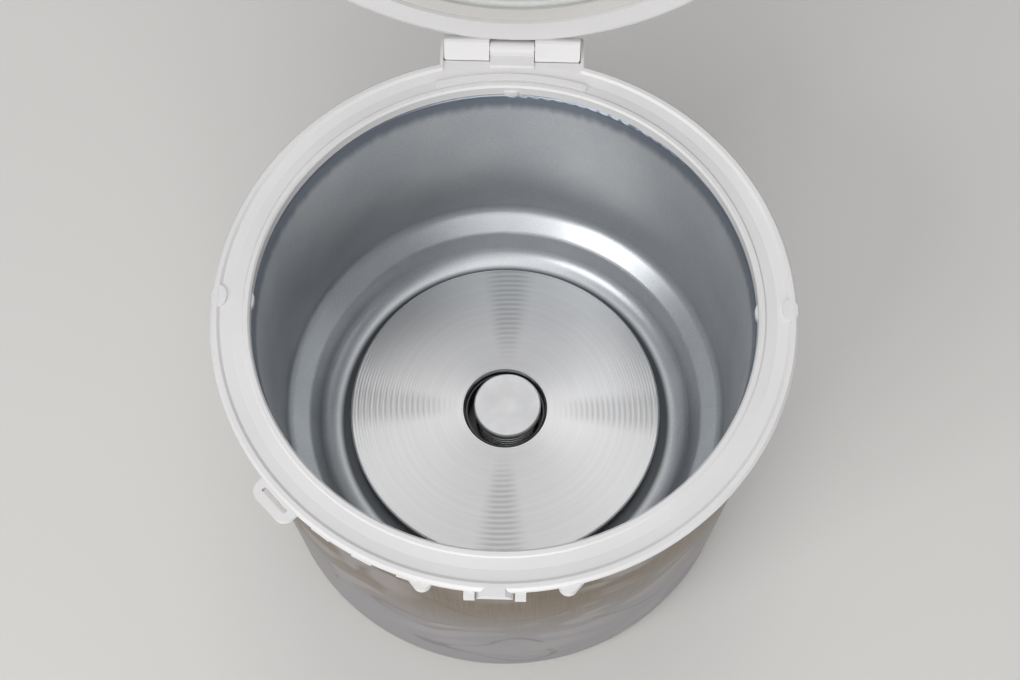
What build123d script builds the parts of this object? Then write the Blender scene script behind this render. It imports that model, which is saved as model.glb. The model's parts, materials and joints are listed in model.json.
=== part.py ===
from build123d import *
import math
import os

# Rice cooker, in millimetres. The origin is on the table, on the vertical axis of the body.
# +Z is up, the front is -Y and the lid hinge is at +Y. The lid is drawn closed and written open.

# ---- driving dimensions -------------------------------------------------------------------
rim_z = 200.0            # top plane of the collar above the table
collar_r = 135.0         # outside of the collar
opening_r = 116.8        # mouth that the cooking pot drops into
shell_top_r = 131.0      # outside of the sheet shell under the collar
shell_bottom_r = 126.0   # outside of the sheet shell at its lower hem
shell_bottom_z = 9.3
sheet = 0.8              # thickness of the shell and liner sheet
liner_r = 116.2          # inside of the liner wall
liner_floor_z = 56.5
plate_r = 83.2           # cast heater plate
plate_z = 66.7           # its top face
plate_under_z = 58.7
plate_hole_r = 21.7
sensor_r = 17.95         # spring loaded sensor cap
sensor_z = 71.7
sensor_x = 1.2           # the cap sits a little to the right in its well
hinge_y = 138.5
hinge_z = rim_z + 1.0
open_angle = 95.0        # the lid leans five degrees past upright
lid_r = 134.0
lid_bottom_z = rim_z + 0.6
lid_top_z = 250.0
lid_crown_r = 900.0      # radius of the gently domed top
wall = 2.4               # moulded plastic wall

hinge_line = Axis((0, hinge_y, hinge_z), (1, 0, 0))
os.makedirs("parts", exist_ok=True)


def finish(builder, name):
    # A piece that is already in its resting place.
    builder.part.label = name
    export_step(builder.part, f"parts/{name}.step")


def finish_open(builder, name):
    # A lid piece is drawn closed and swung open about the hinge line before it is written.
    piece = builder.part.rotate(hinge_line, -open_angle)
    piece.label = name
    export_step(piece, f"parts/{name}.step")


def slab(x_range, y_range, z_range, mode=Mode.ADD):
    # A rectangular block between three pairs of coordinates.
    sides = [high - low for low, high in (x_range, y_range, z_range)]
    middle = [(low + high) / 2 for low, high in (x_range, y_range, z_range)]
    with Locations(tuple(middle)):
        Box(*sides, mode=mode)


def rod(radius, start, end, mode=Mode.ADD):
    # A round bar from one point to another.
    path = Vector(*end) - Vector(*start)
    with Locations(Plane(origin=start, z_dir=path).location):
        Cylinder(radius, path.length, align=(Align.CENTER, Align.CENTER, Align.MIN), mode=mode)


def around(radius, degrees):
    return radius * math.cos(math.radians(degrees)), radius * math.sin(math.radians(degrees))


def lid_height(radius):
    # Height of the domed lid top at a distance from its middle.
    return lid_top_z - radius ** 2 / (2 * lid_crown_r)


def crown(radius, lift):
    # The outline of the domed top, from a radius in to the middle, raised by lift.
    points = [(radius * step / 4, lid_height(radius * step / 4) + lift) for step in (4, 3, 2, 1, 0)]
    return Spline(*points, tangents=((-1, radius / lid_crown_r), (-1, 0)))


# ---- top collar ---------------------------------------------------------------------------
deck_z = rim_z - 1.0     # the deck lies a little below the lip
band_r = collar_r - 1.2  # hanging band under the lip
band_z = rim_z - 7.4
skirt_z = rim_z - 6.4    # lower edge of the inner skirt
shelf_z = rim_z - 10.0   # underside of the hinge shelf
under_z = rim_z - 3.2
lip_r = collar_r - 3.7   # inner edge of the raised lip
rib_r = shell_top_r - 3.0
cheek_x = 35.5           # half width of the hinge shelf
cheek_wall = 1.6
knuckle_x = 10.9
knuckle_r = 4.0
well_r = 6.82            # hollow in the shelf that the lid ears turn in
pin_r = 1.5
shelf_back_y = 147.6

with BuildPart() as hinge_shelf:
    with BuildSketch(Plane.XY.offset(shelf_z)):
        with Locations((0, 132.8)):
            RectangleRounded(2 * cheek_x, 2 * (shelf_back_y - 132.8), 3.0)
    extrude(amount=deck_z - shelf_z)
    for x in (-cheek_x + cheek_wall / 2, cheek_x - cheek_wall / 2):
        slab((x - cheek_wall / 2, x + cheek_wall / 2), (128.4, shelf_back_y - 3.2), (rim_z - 4, rim_z))
    with BuildSketch(Plane.XY.offset(shelf_z)):
        Circle(shell_top_r + 0.3)
    extrude(amount=under_z - shelf_z, mode=Mode.SUBTRACT)
    with BuildSketch(Plane.XY.offset(shelf_z)):
        Circle(lip_r)
    extrude(amount=20, mode=Mode.SUBTRACT)

with BuildPart() as top_collar:
    with BuildSketch(Plane.XZ):
        with BuildLine():
            Polyline(
                (collar_r, rim_z - 1.3),
                (collar_r - 1.3, rim_z),
                (lip_r + 0.4, rim_z),
                (lip_r - 0.9, deck_z),
                (125.5, deck_z - 0.4),
                (opening_r + 3.6, deck_z + 0.1),
                (opening_r + 2.9, rim_z - 0.2),
                (opening_r + 0.9, rim_z - 0.1),
                (opening_r, deck_z),
                (opening_r, skirt_z),
                (opening_r + 1.7, skirt_z),
                (opening_r + 2.0, under_z),
                (rib_r - 2.0, under_z),
                (rib_r - 2.0, band_z),
                (rib_r, band_z),
                (rib_r, under_z),
                (band_r - 2.0, under_z),
                (band_r - 2.0, band_z),
                (band_r, band_z),
                (band_r, rim_z - 3.6),
                (collar_r, rim_z - 3.2),
                close=True,
            )
        make_face()
        soft_corners = vertices().filter_by(lambda v: v.Y > rim_z - 1.5 and v.X > opening_r + 0.1)
        fillet(soft_corners, radius=0.45)
    revolve(axis=Axis.Z)
    # the lip opens between the cheeks, so that the deck runs on to the hinge
    slab((-cheek_x + cheek_wall, cheek_x - cheek_wall), (122, 140), (deck_z, rim_z + 1), Mode.SUBTRACT)
    add(hinge_shelf.part)
    # a flat raised pad in front of the hinge
    with BuildSketch(Plane.XY.offset(deck_z - 0.6)):
        SlotArc(CenterArc((0, 0), 122.9, 73.2, 33.6), 3.2)
    extrude(amount=1.4)
    # the knuckle is a low step in front and a barrel round the pin
    with BuildSketch(Plane.YZ.offset(-knuckle_x)):
        with BuildLine():
            Polyline(
                (128.4, deck_z - 1),
                (128.4, rim_z - 0.4),
                (129.0, rim_z + 0.1),
                (hinge_y - knuckle_r + 0.1, rim_z + 0.1),
                (hinge_y - knuckle_r, hinge_z),
                (hinge_y + knuckle_r, hinge_z),
                (hinge_y + knuckle_r, shelf_z),
                (132.0, shelf_z),
                (132.0, deck_z - 1),
                close=True,
            )
        make_face()
        with Locations((hinge_y, hinge_z)):
            Circle(knuckle_r)
    extrude(amount=2 * knuckle_x)
    # wells for the two lid ears, with a low wall behind them
    for x_range in ((-cheek_x + cheek_wall, -knuckle_x), (knuckle_x, cheek_x - cheek_wall)):
        rod(well_r, (x_range[0], hinge_y, hinge_z), (x_range[1], hinge_y, hinge_z), Mode.SUBTRACT)
        slab(x_range, (hinge_y - well_r, hinge_y + well_r), (hinge_z, hinge_z + 9), Mode.SUBTRACT)
        slab(x_range, (hinge_y, shelf_back_y + 1), (rim_z - 3.6, hinge_z + 1), Mode.SUBTRACT)
    rod(pin_r, (-knuckle_x, hinge_y, hinge_z), (knuckle_x, hinge_y, hinge_z), Mode.SUBTRACT)
    # four half round lugs that centre the pot, at the foot of the skirt
    with BuildSketch(Plane.XY.offset(skirt_z)):
        with PolarLocations(opening_r + 0.5, 4):
            Ellipse(1.6, 4.2)
    extrude(amount=2.6)
    # bumps on the lip at both sides
    with BuildSketch(Plane.XY.offset(deck_z - 0.6)):
        with Locations((-lip_r, 0), (lip_r, 0)):
            Ellipse(3.6, 5.5)
        Circle(collar_r - 0.4, mode=Mode.INTERSECT)
    extrude(amount=rim_z - deck_z + 0.5)
    # latch catch in the middle of the front, with a guide tab on each side
    with BuildSketch(Plane.XZ.offset(collar_r - 2.2)):
        with BuildLine():
            Polyline((-7.8, rim_z - 4.8), (-6.6, rim_z - 2.0), (-4.4, rim_z + 0.1), (4.4, rim_z + 0.1),
                     (6.6, rim_z - 2.0), (7.8, rim_z - 4.8), close=True)
        make_face()
    extrude(amount=4.4)
    for x in (-11, 11):
        slab((x - 2.35, x + 2.35), (-collar_r - 2.3, -collar_r + 3), (rim_z - 7.6, rim_z - 2.6))
    # two round stops further out, each with a gusset on its outer side
    for side in (-1, 1):
        stop_x, stop_y = 31.4 * side, -collar_r + 4.9
        with BuildSketch(Plane.XY.offset(rim_z - 8.0)):
            with Locations((stop_x, stop_y)):
                Circle(4.2)
            with BuildLine():
                Polyline((stop_x, stop_y + 3), (stop_x - side * 3, stop_y - 2.9), (stop_x + side * 3, stop_y - 2.9),
                         (stop_x + side * 8.4, stop_y + 3.6), close=True)
            make_face()
            Circle(band_r - 1.5, mode=Mode.SUBTRACT)
        extrude(amount=5.6)
    # short snap ledges under the band, stepping in and out
    for index in range(6):
        with BuildSketch(Plane.XY.offset(band_z - 0.9)):
            ledge_x, ledge_y = around(band_r - 0.9 + 0.7 * (index % 2), 230.5 + 4.6 * index)
            with Locations(Location((ledge_x, ledge_y), 230.5 + 4.6 * index)):
                Rectangle(1.8, 9.6)
        extrude(amount=1.6)
    # loop on the left that a paddle holder hangs from
    loop_plane = Plane(origin=(0, 0, rim_z - 4.2), x_dir=(*around(1, 225), 0), z_dir=(0, 0, 1))
    with BuildSketch(loop_plane):
        with Locations((136.1, 0)):
            RectangleRounded(12.6, 23.0, 5.2)
        with Locations((137.3, 0)):
            RectangleRounded(2.2, 15.2, 0.6, mode=Mode.SUBTRACT)
        Circle(band_r - 1.0, mode=Mode.SUBTRACT)
    extrude(amount=3.2)

finish(top_collar, "top_collar")

# ---- sheet shell --------------------------------------------------------------------------
hem_screw_r = 122.6
hem_screw_angles = (45, 135, 225, 315)
inlet_x = 15.5
inlet_low_z = 23.0
inlet_high_z = 49.0

with BuildPart() as outer_shell:
    with BuildSketch(Plane.XZ):
        with BuildLine():
            Polyline(
                (shell_bottom_r - 7, shell_bottom_z),
                (shell_bottom_r - 1.2, shell_bottom_z),
                (shell_bottom_r, shell_bottom_z + 1.2),
                (shell_top_r, under_z - 0.3),
                (shell_top_r - sheet, under_z - 0.3),
                (shell_bottom_r - sheet, shell_bottom_z + 1.6),
                (shell_bottom_r - sheet - 0.8, shell_bottom_z + sheet),
                (shell_bottom_r - 7, shell_bottom_z + sheet),
                close=True,
            )
        make_face()
    revolve(axis=Axis.Z)
    slab((-inlet_x - 0.5, inlet_x + 0.5), (100, 140), (inlet_low_z - 0.5, inlet_high_z + 0.5), Mode.SUBTRACT)
    with BuildSketch(Plane.XY.offset(shell_bottom_z)):
        with PolarLocations(hem_screw_r, 4, start_angle=hem_screw_angles[0]):
            Circle(1.6)
    extrude(amount=sheet, mode=Mode.SUBTRACT)

finish(outer_shell, "outer_shell")

# ---- liner and its side heater ------------------------------------------------------------
with BuildPart() as liner:
    with BuildSketch(Plane.XZ):
        with BuildLine():
            section = FilletPolyline(
                (121.4, skirt_z - 0.7),
                (liner_r + sheet / 2, skirt_z - 0.7),
                (liner_r + sheet / 2, 79.0),
                (105.0, 70.0),
                (95.5, liner_floor_z - sheet / 2),
                (71.0, liner_floor_z - sheet / 2),
                radius=(1.6, 10.0, 5.0, 14.0),
            )
        trace(section, line_width=sheet)
    revolve(axis=Axis.Z)

finish(liner, "liner")

with BuildPart() as side_heater:
    with BuildSketch(Plane.XY.offset(118)):
        Circle(liner_r + sheet + 1.2)
        Circle(liner_r + sheet + 0.1, mode=Mode.SUBTRACT)
    extrude(amount=32)

finish(side_heater, "side_heater")

# ---- base tray, foot ring and screws ------------------------------------------------------
floor_low_z = 5.5
floor_high_z = 8.1
hem_r = 126.2
post_r = 66.0
post_angles = (30, 150, 270)
post_low_z = 14.0
board_middle = (-54, -20)
board_size = (58, 72)
board_z = 14.0

with BuildPart() as base_tray:
    with BuildSketch(Plane.XZ):
        with BuildLine():
            Polyline(
                (0, floor_low_z),
                (118.4, floor_low_z),
                (119.8, 6.9),
                (hem_r - 0.8, 6.9),
                (hem_r, 7.7),
                (hem_r, 9.2),
                (118.0, 9.2),
                (118.0, 20.0),
                (116.0, 20.0),
                (116.0, floor_high_z),
                (0, floor_high_z),
                close=True,
            )
        make_face()
    revolve(axis=Axis.Z)
    # groove that holds the foot ring
    with BuildSketch(Plane.XY.offset(floor_low_z)):
        Circle(109.1)
        Circle(106.9, mode=Mode.SUBTRACT)
    extrude(amount=1.3, mode=Mode.SUBTRACT)
    # air slots
    with BuildSketch(Plane.XY.offset(floor_low_z)):
        with PolarLocations(88, 24):
            SlotOverall(18, 3.2)
    extrude(amount=floor_high_z - floor_low_z, mode=Mode.SUBTRACT)
    # bosses under the plate posts and the power board
    with BuildSketch(Plane.XY.offset(floor_high_z)):
        with PolarLocations(post_r, 3, start_angle=post_angles[0]):
            Circle(7)
    extrude(amount=post_low_z - floor_high_z)
    with BuildSketch(Plane.XY.offset(floor_high_z)):
        with Locations(board_middle):
            with GridLocations(board_size[0] - 8, board_size[1] - 8, 2, 2):
                Circle(2.6)
    extrude(amount=board_z - floor_high_z)
    with BuildSketch(Plane.XY.offset(floor_low_z)):
        with PolarLocations(post_r, 3, start_angle=post_angles[0]):
            Circle(1.8)
        with PolarLocations(hem_screw_r, 4, start_angle=hem_screw_angles[0]):
            Circle(1.6)
    extrude(amount=post_low_z, mode=Mode.SUBTRACT)

finish(base_tray, "base_tray")

with BuildPart() as foot_ring:
    with BuildSketch(Plane.XZ):
        with BuildLine():
            Polyline((104, 0), (112, 0), (113, floor_low_z), (109, floor_low_z), (109, 6.6), (107, 6.6),
                     (107, floor_low_z), (103, floor_low_z), close=True)
        make_face()
    revolve(axis=Axis.Z)

finish(foot_ring, "foot_ring")

with BuildPart() as hem_screws:
    for angle in hem_screw_angles:
        x, y = around(hem_screw_r, angle)
        rod(1.5, (x, y, 6.9), (x, y, 14))
        rod(2.7, (x, y, 5.1), (x, y, 6.9))

finish(hem_screws, "hem_screws")

with BuildPart() as post_screws:
    for angle in post_angles:
        x, y = around(post_r, angle)
        rod(1.7, (x, y, floor_low_z), (x, y, 26))
        rod(3.6, (x, y, 3.6), (x, y, floor_low_z))

finish(post_screws, "post_screws")

# ---- heater plate and what hangs from it --------------------------------------------------
element_r = 53.0
element_z = 54.5
tube_r = 4.2

with BuildPart() as heater_plate:
    with BuildSketch(Plane.XZ):
        with BuildLine():
            Polyline(
                (plate_hole_r + 1.0, plate_z),
                (plate_r - 0.8, plate_z),
                (plate_r, plate_z - 0.8),
                (plate_r, plate_under_z + 2.4),
                (plate_r - 2.0, plate_under_z),
                (element_r + 8.0, plate_under_z),
                (element_r + 6.6, element_z),
                (element_r - 6.6, element_z),
                (element_r - 8.0, plate_under_z),
                (plate_hole_r, plate_under_z),
                (plate_hole_r, plate_z - 1.0),
                close=True,
            )
        make_face()
    revolve(axis=Axis.Z)
    with BuildSketch(Plane.XZ):
        with Locations((element_r, element_z)):
            Circle(tube_r)
    revolve(axis=Axis.Z, mode=Mode.SUBTRACT)

finish(heater_plate, "heater_plate")

with BuildPart() as heater_element:
    with BuildSketch(Plane.XZ):
        with Locations((element_r, element_z)):
            Circle(tube_r - 0.02)
    revolve(axis=Axis.Z, revolution_arc=318)
    for angle in (4, 314):
        x, y = around(element_r, angle)
        rod(2.4, (x, y, element_z - 12), (x, y, element_z))

finish(heater_element, "heater_element")

with BuildPart() as plate_posts:
    for angle in post_angles:
        x, y = around(post_r, angle)
        rod(3.5, (x, y, post_low_z), (x, y, plate_under_z - 0.05))
        rod(5.0, (x, y, plate_under_z - 3.0), (x, y, plate_under_z - 0.05))
        rod(1.72, (x, y, post_low_z), (x, y, 27), Mode.SUBTRACT)

finish(plate_posts, "plate_posts")

with BuildPart() as heat_shield:
    with BuildSketch(Plane.XZ):
        with BuildLine():
            Polyline((24, 40.0), (92, 40.0), (97, 45.0), (96.4, 45.6), (91.6, sheet + 40.0), (24, sheet + 40.0),
                     close=True)
        make_face()
    revolve(axis=Axis.Z)
    for angle in post_angles:
        x, y = around(post_r, angle)
        rod(3.9, (x, y, 30), (x, y, 50), Mode.SUBTRACT)

finish(heat_shield, "heat_shield")

with BuildPart() as thermal_fuse:
    rod(2.4, (-9, -36, plate_under_z - 2.5), (9, -36, plate_under_z - 2.5))
    rod(0.6, (-15, -36, plate_under_z - 2.5), (15, -36, plate_under_z - 2.5))

finish(thermal_fuse, "thermal_fuse")

with BuildPart() as fuse_clip:
    slab((-4, 4), (-40.6, -31.4), (plate_under_z - 5.8, plate_under_z - 5.1))
    slab((-4, 4), (-40.6, -39.9), (plate_under_z - 5.8, plate_under_z - 0.05))
    slab((-4, 4), (-32.1, -31.4), (plate_under_z - 5.8, plate_under_z - 0.05))

finish(fuse_clip, "fuse_clip")

# ---- spring loaded sensor in the middle of the plate --------------------------------------
cup_z = 46.0
cup_r = plate_hole_r - 0.5
sensor_side = Plane.XZ.shift_origin((sensor_x, 0, 0))
sensor_line = Axis((sensor_x, 0, 0), (0, 0, 1))
stem_r = 3.0

with BuildPart() as sensor_holder:
    with BuildSketch(Plane.XY.offset(cup_z)):
        Circle(cup_r)
    extrude(amount=plate_z - 3.5 - cup_z)
    with BuildSketch(Plane.XY.offset(cup_z + sheet)):
        Circle(cup_r - sheet)
    extrude(amount=30, mode=Mode.SUBTRACT)
    with BuildSketch(Plane.XY.offset(plate_under_z - 0.9)):
        Circle(27)
        Circle(cup_r - sheet / 2, mode=Mode.SUBTRACT)
    extrude(amount=sheet)
    rod(stem_r + 0.5, (sensor_x, 0, cup_z - 1), (sensor_x, 0, cup_z + 2), Mode.SUBTRACT)

finish(sensor_holder, "sensor_holder")

with BuildPart() as sensor_cap:
    with BuildSketch(sensor_side):
        with BuildLine():
            Polyline(
                (0, sensor_z),
                (sensor_r - 0.7, sensor_z),
                (sensor_r, sensor_z - 0.7),
                (sensor_r, sensor_z - 4.6),
                (sensor_r - 0.9, sensor_z - 5.2),
                (sensor_r - 2.4, sensor_z - 5.2),
                (sensor_r - 2.4, sensor_z - 10.6),
                (sensor_r - 3.2, sensor_z - 10.6),
                (sensor_r - 3.2, sensor_z - 1.2),
                (stem_r, sensor_z - 1.2),
                (stem_r, cup_z - 5),
                (0, cup_z - 5),
                close=True,
            )
        make_face()
    revolve(axis=sensor_line)

finish(sensor_cap, "sensor_cap")

with BuildPart() as sensor_thermistor:
    rod(3.0, (sensor_x + 7.5, 0, sensor_z - 5.4), (sensor_x + 7.5, 0, sensor_z - 1.25))

finish(sensor_thermistor, "sensor_thermistor")


def coil(radius, wire_r, start, end, turns):
    # A helical spring between two points.
    path = Vector(*end) - Vector(*start)
    helix = Helix(path.length / turns, path.length, radius, center=start, direction=path.normalized())
    with BuildPart() as spring:
        with BuildSketch(Plane(origin=helix @ 0, z_dir=helix % 0)):
            Circle(wire_r)
        sweep(path=helix, is_frenet=True)
    return spring.part


with BuildPart() as sensor_spring:
    add(coil(16.5, 0.6, (sensor_x, 0, cup_z + 1.6), (sensor_x, 0, sensor_z - 6.0), 6))

finish(sensor_spring, "sensor_spring")

# ---- electrics in the base ----------------------------------------------------------------
board_top_z = board_z + 1.6

with BuildPart() as power_board:
    with BuildSketch(Plane.XY.offset(board_z + 0.02)):
        with Locations(board_middle):
            RectangleRounded(*board_size, 2)
    extrude(amount=1.6)

finish(power_board, "power_board")

with BuildPart() as board_transformer:
    slab((-80, -50), (-50, -22), (board_top_z + 0.04, 37))
    slab((-76, -54), (-54, -18), (board_top_z + 2, 34))

finish(board_transformer, "board_transformer")

with BuildPart() as board_relay:
    slab((-44, -29), (-50, -30), (board_top_z + 0.04, 31))

finish(board_relay, "board_relay")

with BuildPart() as board_capacitors:
    for x, y, radius, height in ((-36, -18, 5, 20), (-36, -4, 5, 20), (-50, -4, 4, 14), (-64, -4, 4, 14)):
        rod(radius, (x, y, board_top_z + 0.04), (x, y, board_top_z + height))

finish(board_capacitors, "board_capacitors")

with BuildPart() as terminal_block:
    slab((30, 62), (62, 76), (floor_high_z + 0.02, 20))
    for x in (36, 46, 56):
        rod(2.4, (x, 69, 14), (x, 69, 21), Mode.SUBTRACT)

finish(terminal_block, "terminal_block")

inlet_back_y = 130.2
inlet_front_y = 106.0
inlet_z = (inlet_low_z + inlet_high_z) / 2

with BuildPart() as power_inlet:
    # flange outside the shell, hollowed to its curve
    with BuildSketch(Plane.XZ.offset(-120)):
        with Locations((0, inlet_z)):
            RectangleRounded(40, 36, 4)
    extrude(amount=-(inlet_back_y - 120))
    with BuildSketch(Plane.XY):
        Circle(127.6)
    extrude(amount=60, mode=Mode.SUBTRACT)
    with BuildSketch(Plane.XZ.offset(-inlet_front_y)):
        with Locations((0, inlet_z)):
            Rectangle(2 * inlet_x, inlet_high_z - inlet_low_z)
    extrude(amount=-(inlet_back_y - inlet_front_y))
    with BuildSketch(Plane.XZ.offset(-inlet_front_y - 4)):
        with Locations((0, inlet_z)):
            RectangleRounded(24.4, 17.4, 3.5)
    extrude(amount=-30, mode=Mode.SUBTRACT)
    for x, z in ((-7, inlet_z - 2), (7, inlet_z - 2), (0, inlet_z + 3)):
        slab((x - 1.0, x + 1.0), (inlet_front_y - 1, inlet_front_y + 5), (z - 2, z + 2), Mode.SUBTRACT)

finish(power_inlet, "power_inlet")

with BuildPart() as inlet_pins:
    for x, z in ((-7, inlet_z - 2), (7, inlet_z - 2), (0, inlet_z + 3)):
        slab((x - 0.98, x + 0.98), (inlet_front_y - 8, inlet_front_y + 16), (z - 1.98, z + 1.98))

finish(inlet_pins, "inlet_pins")

# ---- hinge pin and springs ----------------------------------------------------------------
ear_in_x = 11.25
ear_out_x = 33.55
ear_r = 6.5
spring_pocket_x = 19.6

with BuildPart() as hinge_pin:
    rod(pin_r - 0.01, (-ear_out_x + 0.8, hinge_y, hinge_z), (ear_out_x - 0.8, hinge_y, hinge_z))

finish(hinge_pin, "hinge_pin")

with BuildPart() as hinge_springs:
    for side in (-1, 1):
        add(coil(2.05, 0.38, (side * (ear_in_x + 0.8), hinge_y, hinge_z),
                 (side * (spring_pocket_x - 0.8), hinge_y, hinge_z), 5))

finish(hinge_springs, "hinge_springs")

# ---- lid outer shell ----------------------------------------------------------------------
rim_inner_r = 120.0
lid_wall_top_r = 132.8
latch_x = 15.5
latch_y = -122.0
latch_low_z = lid_bottom_z + 2.6
latch_high_z = 228.0
latch_pin_y = -129.0
latch_pin_z = 214.0
latch_pin_r = 1.5
lid_screw_r = 116.2
lid_post_r = 3.0
lid_screw_angles = (20, 160, 230, 310)
vent_y = 58.0
vent_tube_r = 9.6
vent_flange_r = 17.6
vent_seat_z = 245.6
panel_y = -70.0
panel_size = (100, 46)
panel_z = 243.0
pivot_z = 224.0
pivot_r = 4.0

with BuildPart() as lid_cavity:
    with BuildSketch(Plane.XZ):
        with BuildLine():
            crown_r = lid_wall_top_r - wall
            Line((0, lid_bottom_z - 5), (rim_inner_r - 0.2, lid_bottom_z - 5))
            Line((rim_inner_r - 0.2, lid_bottom_z - 5), (rim_inner_r - 0.2, latch_low_z))
            Line((rim_inner_r - 0.2, latch_low_z), (lid_r - wall, latch_low_z))
            Line((lid_r - wall, latch_low_z), (crown_r, lid_height(crown_r) - wall))
            crown(crown_r, -wall)
            Line((0, lid_top_z - wall), (0, lid_bottom_z - 5))
        make_face()
        shoulder = vertices().sort_by(lambda v: v.X + v.Y)[-1]
        fillet(shoulder, radius=14)
    revolve(axis=Axis.Z)
    # what stays solid inside the lid: the latch housing, screw posts, vent boss and panel ledge
    slab((-latch_x - 2, latch_x + 2), (-140, latch_y + 2), (latch_low_z, latch_high_z + 2), Mode.SUBTRACT)
    for angle in lid_screw_angles:
        x, y = around(lid_screw_r, angle)
        rod(lid_post_r, (x, y, lid_bottom_z + 3.9), (x, y, lid_top_z), Mode.SUBTRACT)
    rod(vent_flange_r + 2, (0, vent_y, vent_seat_z - wall), (0, vent_y, lid_top_z), Mode.SUBTRACT)
    with BuildSketch(Plane.XY.offset(panel_z - wall)):
        with Locations((0, panel_y)):
            RectangleRounded(panel_size[0] + 5, panel_size[1] + 5, 14)
    extrude(amount=12, mode=Mode.SUBTRACT)

with BuildPart() as lid_ear:
    with BuildSketch(Plane.YZ.offset(ear_in_x)):
        with Locations((hinge_y, hinge_z)):
            Circle(ear_r)
        with BuildLine():
            Polyline((132.6, lid_bottom_z + 2), (hinge_y + 5.6, hinge_z + 3.2), (133.0, 217.0), (131.8, 217.0),
                     close=True)
        make_face()
        with BuildLine():
            Polyline((lid_r, lid_bottom_z), (hinge_y + 1.96, hinge_z - 6.22), (hinge_y + 1.96, 190), (128, 190),
                     (128, lid_bottom_z), close=True)
        make_face(mode=Mode.SUBTRACT)
    extrude(amount=ear_out_x - ear_in_x)
    # the rear outer corner is rounded in plan
    with BuildSketch(Plane.XY.offset(180)):
        with Locations((ear_in_x - 8, 130)):
            RectangleRounded(2 * (ear_out_x - ear_in_x + 8), 2 * (hinge_y + ear_r - 130), 5)
    extrude(amount=60, mode=Mode.INTERSECT)
    # so is its outer corner, seen square on to the sloping flat
    flat_plane = Plane(origin=(ear_in_x - 8, hinge_y, hinge_z), x_dir=(1, 0, 0), z_dir=(0, 0.669, 0.743))
    with BuildSketch(flat_plane.offset(-30)):
        RectangleRounded(2 * (ear_out_x - ear_in_x + 8), 2 * ear_r, 2.6)
        with Locations((0, -30)):
            Rectangle(2 * (ear_out_x - ear_in_x + 8), 60)
    extrude(amount=80, mode=Mode.INTERSECT)
    rod(pin_r + 0.07, (ear_in_x - 1, hinge_y, hinge_z), (ear_out_x - 0.7, hinge_y, hinge_z), Mode.SUBTRACT)
    rod(2.65, (ear_in_x - 1, hinge_y, hinge_z), (spring_pocket_x, hinge_y, hinge_z), Mode.SUBTRACT)

with BuildPart() as lid_outer_shell:
    with BuildSketch(Plane.XZ):
        with BuildLine():
            Line((0, lid_bottom_z), (lid_r, lid_bottom_z))
            Line((lid_r, lid_bottom_z), (lid_wall_top_r, lid_height(lid_wall_top_r)))
            crown(lid_wall_top_r, 0)
            Line((0, lid_top_z), (0, lid_bottom_z))
        make_face()
        fillet(vertices().sort_by(lambda v: v.X + v.Y)[-1], radius=16)
        fillet(vertices().sort_by(lambda v: v.X - v.Y)[-1], radius=3.6)
    revolve(axis=Axis.Z)
    add(lid_cavity.part, mode=Mode.SUBTRACT)
    add(lid_ear.part)
    add(mirror(lid_ear.part, about=Plane.YZ, mode=Mode.PRIVATE))
    # latch pocket and its pin
    slab((-latch_x, latch_x), (-140, latch_y), (latch_low_z, latch_high_z), Mode.SUBTRACT)
    rod(latch_pin_r, (-latch_x - 1.9, latch_pin_y, latch_pin_z), (latch_x + 1.9, latch_pin_y, latch_pin_z),
        Mode.SUBTRACT)
    for angle in lid_screw_angles:
        x, y = around(lid_screw_r, angle)
        rod(1.52, (x, y, lid_bottom_z), (x, y, 222), Mode.SUBTRACT)
    rod(vent_flange_r + 0.2, (0, vent_y, vent_seat_z), (0, vent_y, lid_top_z + 2), Mode.SUBTRACT)
    rod(vent_tube_r + 0.1, (0, vent_y, 230), (0, vent_y, lid_top_z + 2), Mode.SUBTRACT)
    with BuildSketch(Plane.XY.offset(panel_z)):
        with Locations((0, panel_y)):
            RectangleRounded(panel_size[0] + 0.4, panel_size[1] + 0.4, 12.2)
    extrude(amount=12, mode=Mode.SUBTRACT)
    with BuildSketch(Plane.XY.offset(panel_z - 4)):
        with Locations((0, panel_y)):
            RectangleRounded(panel_size[0] - 10, panel_size[1] - 10, 8)
    extrude(amount=12, mode=Mode.SUBTRACT)
    rod(pivot_r, (-140, 0, pivot_z), (140, 0, pivot_z), Mode.SUBTRACT)

finish_open(lid_outer_shell, "lid_outer_shell")

# ---- lid inner cover and what it carries --------------------------------------------------
cover_r = rim_inner_r - 0.26
cover_low_z = lid_bottom_z + 1.8
dish_z = lid_bottom_z + 8.6
hub_r = 6.0

with BuildPart() as lid_inner_cover:
    with BuildSketch(Plane.XZ):
        with BuildLine():
            Polyline(
                (0, cover_low_z),
                (hub_r, cover_low_z),
                (hub_r, dish_z),
                (109.6, dish_z),
                (111.6, cover_low_z),
                (cover_r - 0.6, cover_low_z),
                (cover_r, cover_low_z + 0.6),
                (cover_r, cover_low_z + 2.0),
                (113.0, cover_low_z + 2.0),
                (111.0, dish_z + 2.0),
                (0, dish_z + 2.0),
                close=True,
            )
        make_face()
    revolve(axis=Axis.Z)
    for angle in lid_screw_angles:
        x, y = around(lid_screw_r, angle)
        rod(1.6, (x, y, lid_bottom_z), (x, y, 222), Mode.SUBTRACT)
    rod(vent_tube_r + 0.2, (0, vent_y, lid_bottom_z), (0, vent_y, 222), Mode.SUBTRACT)

finish_open(lid_inner_cover, "lid_inner_cover")

with BuildPart() as lid_screws:
    for angle in lid_screw_angles:
        x, y = around(lid_screw_r, angle)
        rod(1.5, (x, y, cover_low_z), (x, y, 216))
        rod(3.2, (x, y, cover_low_z - 1.5), (x, y, cover_low_z))

finish_open(lid_screws, "lid_screws")

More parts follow.
